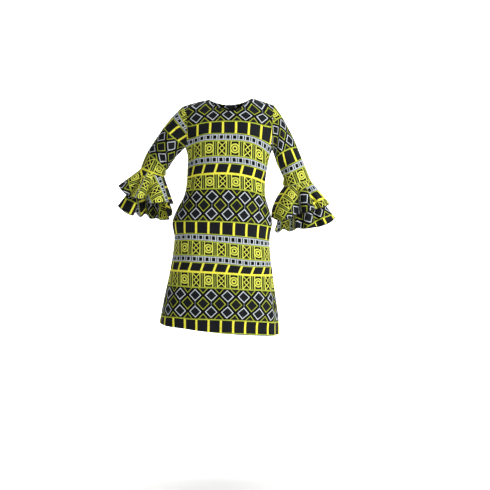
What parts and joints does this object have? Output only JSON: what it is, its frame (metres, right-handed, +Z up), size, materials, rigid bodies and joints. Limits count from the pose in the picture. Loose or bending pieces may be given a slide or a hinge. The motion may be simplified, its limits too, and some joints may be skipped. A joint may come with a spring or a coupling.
{
  "type": "wax print dress",
  "caption": "Shift dress in geometric wax print cotton, round neck, side pockets, back zip, and elbow sleeves that end in two flared tiers; held in its hollow worn form.",
  "frame": {"origin": "midway between the shoulders, level with the neck points, inside the round neck", "axes": "+Z up, the front faces -Y, the wearer's right-hand sleeve is on -X, which is the left of the front view"},
  "size_m": [0.7788, 0.2969, 0.8381],
  "materials": {
    "printed_cotton": "matt plain weave with a slight wax sheen, printed in olive, bright yellow, grey-white and black",
    "pocketing": "matt dark plain weave",
    "zip_tape": "dark woven tape",
    "zip_metal": "black enamel"
  },
  "bodies": {
    "dress": {"front": "printed_cotton", "back_left": "printed_cotton", "back_right": "printed_cotton", "sleeve_left": "printed_cotton", "sleeve_right": "printed_cotton", "flounce_upper_left": "printed_cotton", "flounce_upper_right": "printed_cotton", "flounce_lower_left": "printed_cotton", "flounce_lower_right": "printed_cotton", "pocket_left": "pocketing", "pocket_right": "pocketing", "zip_tape": "zip_tape", "zip_slider": "zip_metal"},
    "zip_pull_tab": {"zip_pull": "zip_metal"}
  },
  "joints": [
    {"name": "pull_tab_lift", "type": "hinge", "parent": "dress", "child": "zip_pull_tab", "pos_m": [-0.00657, 0.07296, -0.02807], "axis": [1, 0, 0], "range_deg": [0, 140]}
  ]
}
